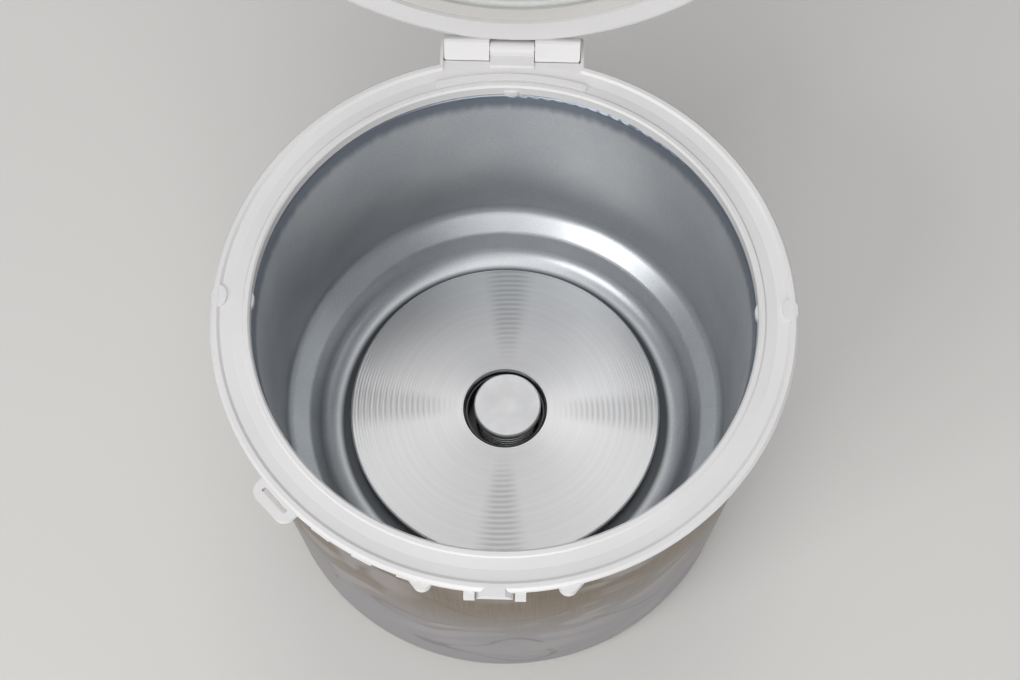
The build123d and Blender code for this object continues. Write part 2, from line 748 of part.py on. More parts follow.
with BuildPart() as lid_heater:
    with BuildSketch(Plane.XY.offset(dish_z + 2.02)):
        Circle(100)
        Circle(86, mode=Mode.SUBTRACT)
    extrude(amount=1.0)

finish_open(lid_heater, "lid_heater")

gasket_r = 108.4
inner_plate_r = 104.0

with BuildPart() as inner_lid_plate:
    with BuildSketch(Plane.XZ):
        with BuildLine():
            Polyline((hub_r + 3.0, 206.4), (92, 206.4), (97, 204.4), (inner_plate_r, 204.4),
                     (inner_plate_r, 203.2), (96.6, 203.2), (91.6, 205.2), (hub_r + 3.0, 205.2), close=True)
        make_face()
    revolve(axis=Axis.Z)
    with BuildSketch(Plane.XY.offset(200)):
        with Locations((0, vent_y)):
            with PolarLocations(6, 6):
                Circle(1.4)
    extrude(amount=10, mode=Mode.SUBTRACT)

finish_open(inner_lid_plate, "inner_lid_plate")

with BuildPart() as inner_lid_gasket:
    with BuildSketch(Plane.XZ):
        with BuildLine():
            Polyline((inner_plate_r + 0.03, 206.2), (gasket_r - 1.5, 206.2), (gasket_r, 203.0), (gasket_r, 201.4),
                     (gasket_r - 1.4, 201.4), (inner_plate_r + 1.6, 202.4), (inner_plate_r + 0.03, 202.4),
                     close=True)
        make_face()
    revolve(axis=Axis.Z)

finish_open(inner_lid_gasket, "inner_lid_gasket")

with BuildPart() as inner_lid_grommet:
    with BuildSketch(Plane.XZ):
        with BuildLine():
            Polyline((hub_r + 0.3, 202.6), (hub_r + 5, 202.6), (hub_r + 5, 205.1), (hub_r + 2.95, 205.1),
                     (hub_r + 2.95, 206.5), (hub_r + 5, 206.5), (hub_r + 5, 208.4), (hub_r + 0.3, 208.4),
                     close=True)
        make_face()
    revolve(axis=Axis.Z)

finish_open(inner_lid_grommet, "inner_lid_grommet")

# ---- steam vent ---------------------------------------------------------------------------
vent_side = Plane.XZ.offset(-vent_y)
vent_line = Axis((0, vent_y, 0), (0, 0, 1))

with BuildPart() as vent_seat:
    with BuildSketch(vent_side):
        with BuildLine():
            Polyline((vent_tube_r - 1.6, 208.0), (vent_tube_r, 208.0), (vent_tube_r, vent_seat_z + 0.03),
                     (vent_flange_r, vent_seat_z + 0.03), (vent_flange_r, vent_seat_z + 2.0),
                     (vent_tube_r - 1.6, vent_seat_z + 2.0), close=True)
        make_face()
    revolve(axis=vent_line)

finish_open(vent_seat, "vent_seat")

with BuildPart() as vent_cap:
    with BuildSketch(vent_side):
        with BuildLine():
            Polyline((0, vent_seat_z + 8.0), (11.5, vent_seat_z + 7.4), (vent_flange_r - 1.6, vent_seat_z + 5.4),
                     (vent_flange_r - 0.4, vent_seat_z + 2.4), (7.5, vent_seat_z + 2.4),
                     (7.5, vent_seat_z - 6.0), (6.0, vent_seat_z - 6.0), (6.0, vent_seat_z + 5.4),
                     (0, vent_seat_z + 5.6), close=True)
        make_face()
    revolve(axis=vent_line)
    with BuildSketch(Plane.XY.offset(vent_seat_z + 4)):
        with Locations((0, vent_y)):
            with PolarLocations(3.4, 3, start_angle=90):
                SlotOverall(4.4, 1.8, rotation=90)
    extrude(amount=6, mode=Mode.SUBTRACT)

finish_open(vent_cap, "vent_cap")

# ---- control panel, keys and the board under them ------------------------------------------
key_x = 20.0
key_y = -74.0
key_size = (26, 14)
key_top_z = 249.0
lamp_y = -57.0
lamp_r = 2.5
switch_top_z = 237.2

with BuildPart() as control_panel:
    with BuildSketch(Plane.XZ):
        with BuildLine():
            Line((0, panel_z + 0.03), (110, panel_z + 0.03))
            Line((110, panel_z + 0.03), (110, lid_height(110) + 0.8))
            crown(110, 0.8)
            Line((0, lid_top_z + 0.8), (0, panel_z + 0.03))
        make_face()
    revolve(axis=Axis.Z)
    with BuildSketch(Plane.XY.offset(panel_z)):
        with Locations((0, panel_y)):
            RectangleRounded(*panel_size, 12)
    extrude(amount=12, mode=Mode.INTERSECT)
    with BuildSketch(Plane.XY.offset(panel_z)):
        with Locations((-key_x, key_y), (key_x, key_y)):
            RectangleRounded(key_size[0] + 0.8, key_size[1] + 0.8, 3.4)
        with Locations((-key_x, lamp_y), (key_x, lamp_y)):
            Circle(lamp_r + 0.03)
    extrude(amount=12, mode=Mode.SUBTRACT)

finish_open(control_panel, "control_panel")


def press_key(x):
    # A key with a retaining flange below the panel and a stem above its switch.
    with BuildPart() as key:
        with BuildSketch(Plane.XY.offset(panel_z - 1.6)):
            with Locations((x, key_y)):
                RectangleRounded(*key_size, 3)
        extrude(amount=key_top_z - panel_z + 1.6)
        fillet(key.faces().sort_by(Axis.Z)[-1].edges(), radius=1.2)
        slab((x - key_size[0] / 2 - 1.4, x + key_size[0] / 2 + 1.4),
             (key_y - key_size[1] / 2 - 1.4, key_y + key_size[1] / 2 + 1.4), (panel_z - 1.6, panel_z - 0.4))
        slab((x - 2, x + 2), (key_y - 2, key_y + 2), (switch_top_z + 1.4, panel_z - 1))
    return key


cook_key = press_key(-key_x)
finish_open(cook_key, "cook_key")
warm_key = press_key(key_x)
finish_open(warm_key, "warm_key")

with BuildPart() as lamp_lenses:
    for x in (-key_x, key_x):
        rod(lamp_r, (x, lamp_y, 237), (x, lamp_y, 249.2))

finish_open(lamp_lenses, "lamp_lenses")

control_board_z = 232.0

with BuildPart() as control_board:
    slab((-46, 46), (-93, -49), (control_board_z, control_board_z + 1.6))

finish_open(control_board, "control_board")

with BuildPart() as tact_switches:
    for x in (-key_x, key_x):
        slab((x - 3, x + 3), (key_y - 3, key_y + 3), (control_board_z + 1.62, switch_top_z - 1))
        rod(1.7, (x, key_y, switch_top_z - 1.2), (x, key_y, switch_top_z))

finish_open(tact_switches, "tact_switches")

with BuildPart() as buzzer:
    rod(6.0, (0, -62, control_board_z - 6), (0, -62, control_board_z - 0.02))

finish_open(buzzer, "buzzer")

# ---- front latch --------------------------------------------------------------------------
button_back_y = -133.0
button_face_y = -136.4
hook_out_y = -141.2
hook_in_y = -138.7
hook_x = 6.8

with BuildPart() as latch_button:
    with BuildSketch(Plane.YZ.offset(-latch_x + 0.7)):
        with BuildLine():
            Polyline(
                (button_back_y, 206.0),
                (button_face_y + 0.6, 206.0),
                (button_face_y, 207.0),
                (button_face_y - 0.5, 218.0),
                (button_face_y + 0.3, 225.4),
                (button_face_y + 1.3, 226.4),
                (button_back_y, 226.4),
                close=True,
            )
        make_face()
        with BuildLine():
            Polyline((button_back_y - 0.5, 209.5), (latch_pin_y, latch_pin_z - 3.2),
                     (latch_pin_y, latch_pin_z + 3.2), (button_back_y - 0.5, 218.5), close=True)
        make_face()
        with Locations((latch_pin_y, latch_pin_z)):
            Circle(3.2)
            Circle(latch_pin_r + 0.06, mode=Mode.SUBTRACT)
    extrude(amount=2 * latch_x - 1.4)
    with BuildSketch(Plane.YZ.offset(-hook_x)):
        with BuildLine():
            Polyline(
                (button_back_y, 206.0),
                (button_back_y - 2, 204.2),
                (hook_in_y, 204.2),
                (hook_in_y, 193.4),
                (-135.4, 193.2),
                (-135.4, 192.2),
                (-138.2, 190.4),
                (hook_out_y + 0.8, 190.4),
                (hook_out_y, 191.4),
                (hook_out_y, 206.5),
                (button_face_y, 212.0),
                (button_back_y, 212.0),
                close=True,
            )
        make_face()
    extrude(amount=2 * hook_x)

finish_open(latch_button, "latch_button")

with BuildPart() as latch_pin:
    rod(latch_pin_r - 0.01, (-latch_x - 1.7, latch_pin_y, latch_pin_z), (latch_x + 1.7, latch_pin_y, latch_pin_z))

finish_open(latch_pin, "latch_pin")

with BuildPart() as latch_spring:
    add(coil(2.5, 0.35, (0, button_back_y + 0.6, 223), (0, latch_y - 0.6, 223), 5))

finish_open(latch_spring, "latch_spring")

# ---- carry handle -------------------------------------------------------------------------
handle_r = 138.4
handle_wide = 6.0
handle_tall = 14.0
plumb_angle = open_angle - 90   # lifted this far, the handle hangs plumb behind the open lid
handle_line = Axis((0, 0, pivot_z), (1, 0, 0))

with BuildPart() as carry_handle:
    with BuildSketch(Plane.XZ):
        with Locations((handle_r, pivot_z)):
            RectangleRounded(handle_wide, handle_tall, 2.5)
    revolve(axis=Axis.Z, revolution_arc=180)
    for side in (-1, 1):
        x_ends = (side * (handle_r - handle_wide / 2), side * (handle_r + handle_wide / 2))
        rod(9.0, (x_ends[0], 0, pivot_z), (x_ends[1], 0, pivot_z))
        rod(pivot_r + 0.08, (x_ends[0] - side, 0, pivot_z), (x_ends[1] + side, 0, pivot_z), Mode.SUBTRACT)

carry_handle.part = carry_handle.part.rotate(handle_line, plumb_angle)
finish_open(carry_handle, "carry_handle")

with BuildPart() as handle_pivots:
    for side in (-1, 1):
        head_x = handle_r + handle_wide / 2 + 0.4
        rod(pivot_r - 0.01, (side * 126, 0, pivot_z), (side * (head_x + 0.5), 0, pivot_z))
        rod(6.4, (side * head_x, 0, pivot_z), (side * (head_x + 1.6), 0, pivot_z))
        rod(6.0, (side * 126, 0, pivot_z), (side * 128, 0, pivot_z))

finish_open(handle_pivots, "handle_pivots")
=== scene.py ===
import json
import math

import bpy
from mathutils import Matrix, Vector


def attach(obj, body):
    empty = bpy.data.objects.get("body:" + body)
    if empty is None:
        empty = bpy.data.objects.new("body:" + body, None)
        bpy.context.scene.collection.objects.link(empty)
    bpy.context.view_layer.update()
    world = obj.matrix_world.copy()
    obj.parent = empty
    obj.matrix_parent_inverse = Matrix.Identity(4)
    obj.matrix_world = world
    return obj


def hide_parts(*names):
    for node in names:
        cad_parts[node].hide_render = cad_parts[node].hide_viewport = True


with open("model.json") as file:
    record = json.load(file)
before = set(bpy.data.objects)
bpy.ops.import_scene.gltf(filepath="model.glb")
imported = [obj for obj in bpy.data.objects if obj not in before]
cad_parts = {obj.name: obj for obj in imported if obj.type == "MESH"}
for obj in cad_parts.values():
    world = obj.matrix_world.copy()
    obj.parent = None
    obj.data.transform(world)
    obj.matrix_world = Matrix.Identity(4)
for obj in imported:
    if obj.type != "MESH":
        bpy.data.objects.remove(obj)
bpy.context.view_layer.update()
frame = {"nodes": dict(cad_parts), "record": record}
mm = 0.001
print("frame loaded with", len(frame["nodes"]), "nodes")


# One wrapped socket: writing + - * or ** on it adds the Math nodes.
class Wire:
    def __init__(self, paint, socket):
        self.paint = paint
        self.socket = socket

    def maths(self, operation, first, second=0.0):
        return self.paint.node("ShaderNodeMath", {"operation": operation}, {0: first, 1: second})

    def __add__(self, other):
        return self.maths("ADD", self, other)

    def __radd__(self, other):
        return self.maths("ADD", other, self)

    def __sub__(self, other):
        return self.maths("SUBTRACT", self, other)

    def __rsub__(self, other):
        return self.maths("SUBTRACT", other, self)

    def __mul__(self, other):
        return self.maths("MULTIPLY", self, other)

    def __rmul__(self, other):
        return self.maths("MULTIPLY", other, self)

    def __pow__(self, power):
        return self.maths("POWER", self, power)

    def __abs__(self):
        return self.maths("ABSOLUTE", self)

    def wave(self):
        return self.maths("SINE", self)


class Nodes:
    # any node: its settings first, then the values or links of its sockets
    def node(self, kind, settings=None, values=None, output=0):
        made = self.tree.nodes.new(kind)
        for key, value in (settings or {}).items():
            setattr(made, key, value)
        for key, value in (values or {}).items():
            for item in value if isinstance(value, list) else [value]:
                if isinstance(item, Wire):
                    self.tree.links.new(item.socket, made.inputs[key])
                else:
                    made.inputs[key].default_value = item
        return Wire(self, made.outputs[output])


class Paint(Nodes):
    def __init__(self, name, owner=None):
        self.owner = owner or bpy.data.materials.new(name)
        self.owner.use_nodes = True
        self.tree = self.owner.node_tree
        self.tree.nodes.clear()
        self.place = self.node("ShaderNodeTexCoord", output="Object")

    def noise(self, scale, detail=2.0, roughness=0.5, place=None):
        values = {"Vector": place or self.place, "Scale": scale, "Detail": detail, "Roughness": roughness}
        return self.node("ShaderNodeTexNoise", None, values)

    def cells(self, scale, feature="F1", place=None, output="Distance"):
        values = {"Vector": place or self.place, "Scale": scale}
        return self.node("ShaderNodeTexVoronoi", {"feature": feature}, values, output)

    def axes(self, place=None):
        split = self.node("ShaderNodeSeparateXYZ", None, {0: place or self.place})
        outputs = split.socket.node.outputs
        return [Wire(self, outputs[index]) for index in range(3)]

    def joined(self, x, y, z):
        return self.node("ShaderNodeCombineXYZ", None, {0: x, 1: y, 2: z})

    def radius(self):
        x, y, _ = self.axes()
        return (x * x + y * y) ** 0.5

    # distance round the body from its front, and height, so that a pattern wraps without a seam in front
    def wrapped(self, radius):
        x, y, z = self.axes()
        return x.maths("ARCTAN2", x, y * -1.0) * radius, z

    def ease(self, value, low, high, start=0.0, end=1.0):
        values = {0: value, 1: low, 2: high, 3: start, 4: end}
        return self.node("ShaderNodeMapRange", {"interpolation_type": "SMOOTHSTEP"}, values)

    def mix(self, factor, first, second):
        first = first if isinstance(first, Wire) else (*first, 1.0)
        second = second if isinstance(second, Wire) else (*second, 1.0)
        return self.node("ShaderNodeMix", {"data_type": "RGBA"}, {0: factor, 6: first, 7: second}, 2)

    def bump(self, height, distance, strength=1.0):
        values = {"Height": height, "Distance": distance, "Strength": strength}
        return self.node("ShaderNodeBump", None, values)

    def done(self, values):
        shader = self.node("ShaderNodeBsdfPrincipled", None, values)
        self.end("ShaderNodeOutputMaterial", shader)
        return self.owner

    def end(self, kind, shader):
        self.tree.links.new(shader.socket, self.tree.nodes.new(kind).inputs["Surface"])


def shade(colour, factor):
    return tuple(min(1.0, channel * factor) for channel in colour)


# a cloudy tone, a slightly uneven gloss and a fine moulded grain
def mouldedPlastic(name, colour, gloss=0.36, grain=0.000012, coat=0.0):
    paint = Paint(name)
    cloud = paint.noise(16, 3)
    spots = paint.noise(1400, 2)
    tone = paint.mix(paint.ease(cloud, 0.3, 0.7), shade(colour, 0.965), shade(colour, 1.02))
    rough = gloss - 0.05 + paint.noise(90, 3) * 0.1
    return paint.done({"Base Color": tone, "Roughness": rough, "Normal": paint.bump(spots, grain, 0.6),
                       "IOR": 1.48, "Coat Weight": coat})


def bareMetal(name, colour, gloss=0.3, grain=0.00001, turned=0.0):
    paint = Paint(name)
    cloud = paint.noise(60, 4)
    spots = paint.noise(1800, 3)
    tone = paint.mix(paint.ease(cloud, 0.3, 0.7), shade(colour, 0.9), shade(colour, 1.05))
    rough = gloss - 0.06 + spots * 0.12
    return paint.done({"Base Color": tone, "Metallic": 1.0, "Roughness": rough, "Anisotropic": turned,
                       "Normal": paint.bump(spots, grain, 0.7)})


# painted shade: the blue band colour under the collar and the near-black floor colour round the hot plate
linerLook = {"low": (0.56, 0.585, 0.61), "high": (0.66, 0.68, 0.70), "edge": (0.13, 0.165, 0.225),
             "collarShadeHeights": (0.1815, 0.1905), "plateShade": (0.02, 0.024, 0.028), "plateShadeRadii": (0.0915, 0.0875),
             "wallRadius": 0.115, "gloss": 0.35, "metal": 0.72}


def linerFinish(name):
    paint = Paint(name)
    look = linerLook
    arc, height = paint.wrapped(look["wallRadius"])
    speckle = paint.noise(1500, 3, 0.65)
    cloud = paint.noise(22, 4)
    tone = paint.mix(paint.ease(cloud, 0.3, 0.72), look["low"], look["high"])
    tone = paint.mix(paint.ease(speckle, 0.42, 0.62) * 0.35, tone, shade(look["high"], 1.25))
    # painted shade of the collar: a darker blue band under it, with a rippled lower line
    ripple = paint.noise(190, 2, place=paint.joined(arc, 0.0, height * 0.2)) * 0.006
    collarShadeMask = paint.ease(height + ripple, *look["collarShadeHeights"])
    tone = paint.mix(collarShadeMask * 0.75, tone, look["edge"])
    # painted shade: the floor close round the hot plate is darkened where the plate shades it
    tone = paint.mix(paint.ease(paint.radius(), *look["plateShadeRadii"]) * 0.92, tone, look["plateShade"])
    rough = look["gloss"] - 0.05 + speckle * 0.1
    return paint.done({"Base Color": tone, "Metallic": look["metal"], "Roughness": rough,
                       "Normal": paint.bump(speckle, 0.00004, 0.55)})


plateLook = {"colour": (0.6, 0.6, 0.605), "gloss": 0.3, "grain": 0.92, "ringPitch": 0.0016,
             "fanTurns": 150, "fanPitch": 0.0029, "shadow": (0.26, 0.26, 0.265)}


def turnedPlate(name):
    paint = Paint(name)
    look = plateLook
    x, y, _ = paint.axes()
    radius = paint.radius()
    rings = (radius * (2 * math.pi / look["ringPitch"])).wave()
    feed = paint.noise(1.0, 3, 0.7, place=paint.joined(radius * 2600, 0.0, 0.0))
    broad = paint.noise(1.0, 2, 0.5, place=paint.joined(radius * 420, 3.0, 0.0))
    # the lathe tool's chatter: faint rays, strongest outside, that lean with the radius
    angle = x.maths("ARCTAN2", y, x)
    rays = (angle * look["fanTurns"] + radius * 900).wave() * paint.ease(radius, 0.03, 0.08)
    tone = paint.mix(paint.ease(broad, 0.3, 0.7), shade(look["colour"], 0.95), look["colour"])
    # painted shade: four fans of fine dark rings, standing for the dark cones in the turned metal's
    # reflection
    shadedFans = paint.ease(abs((angle * 2).wave()), 0.42, 0.10) * paint.ease(radius, 0.022, 0.05)
    lines = (radius * (2 * math.pi / look["fanPitch"]) + (angle * 4).wave() * 1.5).wave() * 0.5 + 0.5
    tone = paint.mix(shadedFans * (lines * 0.42 + 0.12), tone, look["shadow"])
    rough = look["gloss"] - 0.04 + feed * 0.08
    height = rings * 0.6 + feed + rays * 0.12
    return paint.done({"Base Color": tone, "Metallic": 1.0, "Roughness": rough, "Anisotropic": look["grain"],
                       "Normal": paint.bump(height, 0.00002, 0.7)})


shellLook = {"low": (0.235, 0.228, 0.248), "middle": (0.14, 0.106, 0.062), "high": (0.10, 0.055, 0.008),
             "petal": (0.32, 0.30, 0.30), "line": (0.075, 0.045, 0.014), "wallRadius": 0.13,
             "fadeLow": (0.06, 0.15), "fadeHigh": (0.14, 0.21), "drift": 13.0, "push": (0.08, 0, 0.06),
             "petalsAcross": 34, "petalsUp": 78, "stemTurns": 11, "gloss": 0.34, "metal": 0.12}


def printedSheet(name):
    paint = Paint(name)
    look = shellLook
    arc, height = paint.wrapped(look["wallRadius"])
    flat = paint.joined(arc, 0.0, height)
    wander = {"Vector": flat, "Scale": look["drift"], "Detail": 1.0}
    drift = paint.node("ShaderNodeTexNoise", None, wander, "Color")
    pushed = {0: drift, 1: look["push"], 2: flat}
    drift = paint.node("ShaderNodeVectorMath", {"operation": "MULTIPLY_ADD"}, pushed)
    across, _, along = paint.axes(drift)
    tone = paint.mix(paint.ease(height, *look["fadeLow"]), look["low"], look["middle"])
    waved = height + paint.noise(14, 1, place=flat) * 0.05
    tone = paint.mix(paint.ease(waved, *look["fadeHigh"]), tone, look["high"])
    # long pale petals in loose bunches
    spread = paint.joined(across * look["petalsAcross"], 0.0, along * look["petalsUp"])
    petals = paint.cells(1.0, "SMOOTH_F1", spread)
    where = paint.ease(paint.noise(11.0, 1, place=flat), 0.42, 0.56)
    petals = paint.ease(petals, 0.5, 0.36) * where
    tone = paint.mix(petals * 0.6, tone, look["petal"])
    # thin curved stems that follow the drift of the petals
    bands = paint.node("ShaderNodeTexNoise", None, {"Vector": drift, "Scale": 12.0, "Detail": 0.0})
    stems = paint.ease(abs((bands * look["stemTurns"]).wave()), 0.12, 0.03)
    tone = paint.mix(stems * (1.0 - petals) * 0.5, tone, look["line"])
    # fine crossed streaks in the ink
    upright = paint.noise(1.0, 2, 0.6, place=paint.joined(arc * 1300, 0.0, height * 22))
    level = paint.noise(1.0, 2, 0.6, place=paint.joined(arc * 26, 5.0, height * 1100))
    streaks = (upright + level) * 0.5
    tone = paint.mix(paint.ease(streaks, 0.42, 0.64) * 0.3, tone, look["petal"])
    rough = look["gloss"] + streaks * 0.12
    return paint.done({"Base Color": tone, "Metallic": look["metal"], "Roughness": rough,
                       "Coat Weight": 0.12, "Coat Roughness": 0.22,
                       "Normal": paint.bump(streaks, 0.00002, 0.5)})


def boardGreen(name):
    paint = Paint(name)
    tracks = paint.cells(260.0, "DISTANCE_TO_EDGE")
    tone = paint.mix(paint.ease(tracks, 0.05, 0.09), (0.05, 0.22, 0.09), (0.015, 0.11, 0.045))
    return paint.done({"Base Color": tone, "Roughness": 0.35 + paint.noise(300) * 0.1,
                       "Normal": paint.bump(tracks, 0.00003, 0.4), "Coat Weight": 0.4})


def micaSheet(name):
    paint = Paint(name)
    flakes = paint.cells(420.0)
    tone = paint.mix(paint.ease(flakes, 0.2, 0.7), (0.42, 0.36, 0.24), (0.62, 0.56, 0.42))
    return paint.done({"Base Color": tone, "Roughness": 0.4 + flakes * 0.2,
                       "Normal": paint.bump(flakes, 0.00005, 0.5)})


def softRubber(name, colour):
    paint = Paint(name)
    dust = paint.noise(700, 4, 0.7)
    tone = paint.mix(paint.ease(dust, 0.45, 0.8), colour, shade(colour, 1.9))
    return paint.done({"Base Color": tone, "Roughness": 0.62 + dust * 0.2,
                       "Normal": paint.bump(dust, 0.00004, 0.6)})


def clearSilicone(name):
    paint = Paint(name)
    haze = paint.noise(240, 3)
    tone = paint.mix(haze, (0.70, 0.72, 0.71), (0.86, 0.87, 0.85))
    return paint.done({"Base Color": tone, "Roughness": 0.3 + haze * 0.12, "Transmission Weight": 0.3,
                       "IOR": 1.41, "Normal": paint.bump(haze, 0.00003, 0.4)})


def lampGlass(name):
    paint = Paint(name)
    x, _, _ = paint.axes()
    lit = paint.mix(paint.ease(x, -0.002, 0.002), (0.75, 0.25, 0.05), (0.75, 0.52, 0.1))
    grain = paint.noise(500)
    return paint.done({"Base Color": lit, "Roughness": 0.15 + grain * 0.08, "Coat Weight": 0.5,
                       "Normal": paint.bump(grain, 0.00001, 0.3)})


finishes = {
    "white_plastic": mouldedPlastic("whitePlastic", (0.79, 0.78, 0.782), 0.36),
    "printed_shell": printedSheet("printedShell"),
    "liner_finish": linerFinish("linerFinish"),
    "mica_band": micaSheet("micaBand"),
    "base_plastic": mouldedPlastic("basePlastic", (0.62, 0.60, 0.58), 0.5, 0.00003),
    "black_rubber": softRubber("blackRubber", (0.03, 0.03, 0.03)),
    "zinc_steel": bareMetal("zincSteel", (0.60, 0.61, 0.60), 0.32),
    "turned_aluminium": turnedPlate("turnedAluminium"),
    "element_steel": bareMetal("elementSteel", (0.32, 0.31, 0.29), 0.45, 0.00003),
    "shield_aluminium": bareMetal("shieldAluminium", (0.74, 0.75, 0.76), 0.34),
    "fuse_body": bareMetal("fuseBody", (0.66, 0.62, 0.52), 0.3),
    "blasted_aluminium": bareMetal("blastedAluminium", (0.78, 0.78, 0.785), 0.47, 0.00005),
    "black_plastic": mouldedPlastic("blackPlastic", (0.03, 0.03, 0.032), 0.42, 0.00002),
    "spring_steel": bareMetal("springSteel", (0.55, 0.55, 0.54), 0.26),
    "circuit_board": boardGreen("circuitBoard"),
    "relay_plastic": mouldedPlastic("relayPlastic", (0.06, 0.09, 0.22), 0.3),
    "capacitor_sleeve": mouldedPlastic("capacitorSleeve", (0.03, 0.05, 0.10), 0.25),
    "nickel_brass": bareMetal("nickelBrass", (0.70, 0.66, 0.56), 0.25),
    "cream_plastic": mouldedPlastic("creamPlastic", (0.68, 0.665, 0.635), 0.4, 0.00002),
    "foil_heater": bareMetal("foilHeater", (0.72, 0.66, 0.50), 0.3, 0.00004),
    "satin_aluminium": bareMetal("satinAluminium", (0.78, 0.78, 0.79), 0.33, 0.000012, 0.5),
    "clear_silicone": clearSilicone("clearSilicone"),
    "grey_plastic": mouldedPlastic("greyPlastic", (0.36, 0.36, 0.37), 0.42, 0.00002),
    "panel_plastic": mouldedPlastic("panelPlastic", (0.17, 0.17, 0.18), 0.2, 0.000006, 0.4),
    "key_plastic": mouldedPlastic("keyPlastic", (0.74, 0.74, 0.745), 0.3),
    "lamp_lens": lampGlass("lampLens"),
}

darkCup = bareMetal("darkCup", (0.09, 0.09, 0.088), 0.42, 0.00003)
for row in frame["record"]["subparts"]:
    node = frame["nodes"][row["node"]]
    for place in node.material_slots:
        place.material = darkCup if row["node"] == "sensor_holder" else finishes[row["material_slot"]]
print("finishes:", len(finishes) + 1)


# repeated pieces are grown by Geometry Nodes on a few points
class Grower(Nodes):
    kinds = {float: "NodeSocketFloat", int: "NodeSocketInt", tuple: "NodeSocketVector"}

    def __init__(self, name, sizes):
        self.name = name
        self.sizes = sizes
        self.tree = bpy.data.node_groups.new(name, "GeometryNodeTree")
        self.tree.interface.new_socket("Geometry", in_out="INPUT", socket_type="NodeSocketGeometry")
        self.keys = {}
        for label, value in sizes.items():
            kind = self.kinds.get(type(value), "NodeSocketMaterial")
            socket = self.tree.interface.new_socket(label, in_out="INPUT", socket_type=kind)
            self.keys[label] = socket.identifier
        self.tree.interface.new_socket("Geometry", in_out="OUTPUT", socket_type="NodeSocketGeometry")
        self.start = self.tree.nodes.new("NodeGroupInput")

    def given(self, label):
        return Wire(self, self.start.outputs[label])

    # places one shape on every point, and hands back a plain mesh object
    def grown(self, shape, points):
        placed = self.node("GeometryNodeInstanceOnPoints", None, {
            "Points": self.given("Geometry"), "Instance": shape, "Rotation": self.given("Facing")})
        solid = self.node("GeometryNodeRealizeInstances", None, {"Geometry": placed})
        coated = self.node("GeometryNodeSetMaterial", None, {
            "Geometry": solid, "Material": self.given("Finish")})
        end = self.tree.nodes.new("NodeGroupOutput")
        self.tree.links.new(coated.socket, end.inputs["Geometry"])
        spots = bpy.data.meshes.new(self.name + "Spots")
        spots.from_pydata(points, [], [])
        piece = bpy.data.objects.new(self.name, spots)
        bpy.context.scene.collection.objects.link(piece)
        modifier = piece.modifiers.new(self.name, "NODES")
        modifier.node_group = self.tree
        for label, key in self.keys.items():
            modifier[key] = self.sizes[label]
        ready = piece.evaluated_get(bpy.context.evaluated_depsgraph_get())
        made = bpy.data.meshes.new_from_object(ready)
        piece.modifiers.clear()
        piece.data = made
        return piece


hinge = next(joint for joint in frame["record"]["behaviour"]["joints"] if joint["name"] == "lid_hinge")
hingePlace = Vector(hinge["pos_m"])
openAngle = math.radians(95)
opening = Matrix.Rotation(-openAngle, 4, "X")
swing = Matrix.Translation(hingePlace) @ opening @ Matrix.Translation(-hingePlace)


def ring(radius, degrees, height):
    return [(radius * math.cos(math.radians(angle)), radius * math.sin(math.radians(angle)), height)
            for angle in degrees]


# cross head screws: a domed head with a cut cross, on a plain shank
def screws(name, points, facing, head, tall, shank, long, finish):
    grower = Grower(name, {"Head Radius": head, "Head Height": tall, "Shank Radius": shank,
                           "Shank Length": long, "Facing": facing, "Finish": finish})
    headRadius, headHeight = grower.given("Head Radius"), grower.given("Head Height")
    dome = grower.node("GeometryNodeMeshCone", None, {
        "Vertices": 40, "Radius Top": headRadius * 0.82, "Radius Bottom": headRadius, "Depth": headHeight})
    arms = []
    for wide, deep in ((1.15, 0.26), (0.26, 1.15)):
        sides = {0: headRadius * wide, 1: headRadius * deep, 2: headHeight}
        size = grower.node("ShaderNodeCombineXYZ", None, sides)
        arms.append(grower.node("GeometryNodeMeshCube", None, {"Size": size}))
    cross = grower.node("GeometryNodeJoinGeometry", None, {"Geometry": arms})
    lift = grower.node("ShaderNodeCombineXYZ", None, {2: headHeight})
    cross = grower.node("GeometryNodeTransform", None, {"Geometry": cross, "Translation": lift})
    cut = grower.node("GeometryNodeMeshBoolean", {"operation": "DIFFERENCE", "solver": "EXACT"},
                      {"Mesh 1": dome, "Mesh 2": cross})
    rod = grower.node("GeometryNodeMeshCylinder", None, {
        "Vertices": 24, "Radius": grower.given("Shank Radius"), "Depth": grower.given("Shank Length")})
    sink = grower.node("ShaderNodeCombineXYZ", None, {2: grower.given("Shank Length") * -0.5})
    rod = grower.node("GeometryNodeTransform", None, {"Geometry": rod, "Translation": sink})
    return grower.grown(grower.node("GeometryNodeJoinGeometry", None, {"Geometry": [cut, rod]}), points)


facingDown = (math.pi, 0.0, 0.0)
screwSets = {
    "lid_screws": {"body": "lid", "circle": 116.2, "angles": (20, 160, 230, 310), "seat": 202.4,
                   "head": 3.2, "tall": 1.5, "shank": 1.5, "long": 13.6,
                   "facing": (math.pi - openAngle, 0.0, 0.0)},
    "hem_screws": {"body": "cooker_body", "circle": 122.6, "angles": (45, 135, 225, 315), "seat": 6.9,
                   "head": 2.7, "tall": 1.8, "shank": 1.5, "long": 7.1, "facing": facingDown},
    "post_screws": {"body": "cooker_body", "circle": 66.0, "angles": (30, 150, 270), "seat": 5.5,
                    "head": 3.6, "tall": 1.9, "shank": 1.7, "long": 20.5, "facing": facingDown},
}
for node, look in screwSets.items():
    spots = ring(look["circle"] * mm, look["angles"], look["seat"] * mm)
    if look["body"] == "lid":
        spots = [swing @ Vector(spot) for spot in spots]
    piece = screws(node.replace("_", "-"), spots, look["facing"], look["head"] * mm, look["tall"] * mm,
                   look["shank"] * mm, look["long"] * mm, finishes["zinc_steel"])
    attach(piece, look["body"])
    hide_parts(node)
print("screws:", len(screwSets), "sets")


floorLook = {"size": 8.0, "colour": (0.72, 0.71, 0.69)}


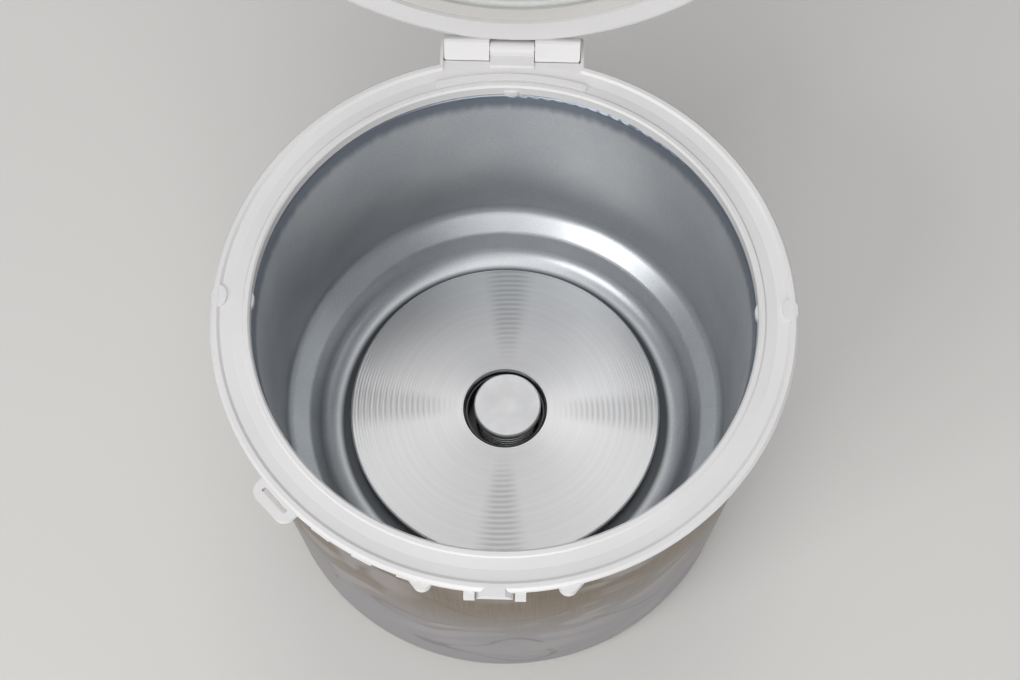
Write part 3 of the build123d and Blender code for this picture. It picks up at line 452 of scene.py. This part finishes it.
def paleFloor():
    side = floorLook["size"] / 2
    mesh = bpy.data.meshes.new("floor")
    corners = [(-side, -side, 0), (side, -side, 0), (side, side, 0), (-side, side, 0)]
    mesh.from_pydata(corners, [], [(0, 1, 2, 3)])
    floor = bpy.data.objects.new("floor", mesh)
    bpy.context.scene.collection.objects.link(floor)
    paint = Paint("paleFloor")
    cloud = paint.noise(1.2, 3)
    tone = paint.mix(cloud, shade(floorLook["colour"], 0.97), floorLook["colour"])
    mesh.materials.append(paint.done({"Base Color": tone, "Roughness": 0.7}))


lights = {
    "overhead": {"place": (0.0, 0.1, 2.3), "size": (0.8, 2.4), "power": 4.0,
                 "aim": (0, 0.1, 0.1), "tint": (1, 0.99, 0.98)},
    "window": {"place": (-1.4, -1.4, 1.7), "size": (1.2, 1.2), "power": 22.0,
               "aim": (0, 0, 0.2), "tint": (1, 0.995, 0.99)},
    "front": {"place": (0.25, -2.2, 0.9), "size": (1.6, 1.0), "power": 19.0,
              "aim": (0, 0.15, 0.28), "tint": (1, 0.99, 0.98)},
}
skyLight = {"strip": (1.06, 1.06, 1.06), "sides": (0.15, 0.155, 0.165), "horizon": (0.15, 0.155, 0.165),
            "stripEdges": (0.14, 0.52), "rise": (0.1, 0.6)}
camera = {"place": (0.0115, -0.2971, 0.8325), "below": 66.23, "turn": 1.7, "roll": -0.1146, "lens": 53.74}


# a dome with a bright strip overhead from front to back, darker to the sides and at the horizon
def softSky():
    sky = Paint("softSky", bpy.data.worlds.new("softSky"))
    direction = sky.node("ShaderNodeTexCoord", output="Generated")
    side, _, up = sky.axes(direction)
    tone = sky.mix(sky.ease(abs(side), *skyLight["stripEdges"]), skyLight["strip"], skyLight["sides"])
    tone = sky.mix(sky.ease(up, *skyLight["rise"]), skyLight["horizon"], tone)
    glow = sky.node("ShaderNodeBackground", None, {"Color": tone})
    sky.end("ShaderNodeOutputWorld", glow)
    return sky.owner


def softLights():
    for name, look in lights.items():
        lamp = bpy.data.lights.new(name, "AREA")
        lamp.shape = "RECTANGLE"
        lamp.size, lamp.size_y = look["size"]
        lamp.energy = look["power"]
        lamp.color = look["tint"]
        holder = bpy.data.objects.new(name, lamp)
        holder.location = look["place"]
        away = Vector(look["place"]) - Vector(look["aim"])
        holder.rotation_euler = away.to_track_quat("Z", "Y").to_euler()
        bpy.context.scene.collection.objects.link(holder)
    bpy.context.scene.world = softSky()


def photographersCamera():
    eye = bpy.data.cameras.new("camera")
    eye.lens = camera["lens"]
    eye.clip_start = 0.05
    holder = bpy.data.objects.new("camera", eye)
    turned = Matrix.Rotation(math.radians(camera["turn"]), 4, "Z")
    tipped = Matrix.Rotation(math.radians(90 - camera["below"]), 4, "X")
    rolled = Matrix.Rotation(math.radians(camera["roll"]), 4, "Z")
    holder.matrix_world = Matrix.Translation(camera["place"]) @ turned @ tipped @ rolled
    bpy.context.scene.collection.objects.link(holder)
    bpy.context.scene.camera = holder


paleFloor()
softLights()
photographersCamera()
bpy.context.scene.view_settings.view_transform = "Standard"
print("floor, lights and camera set")
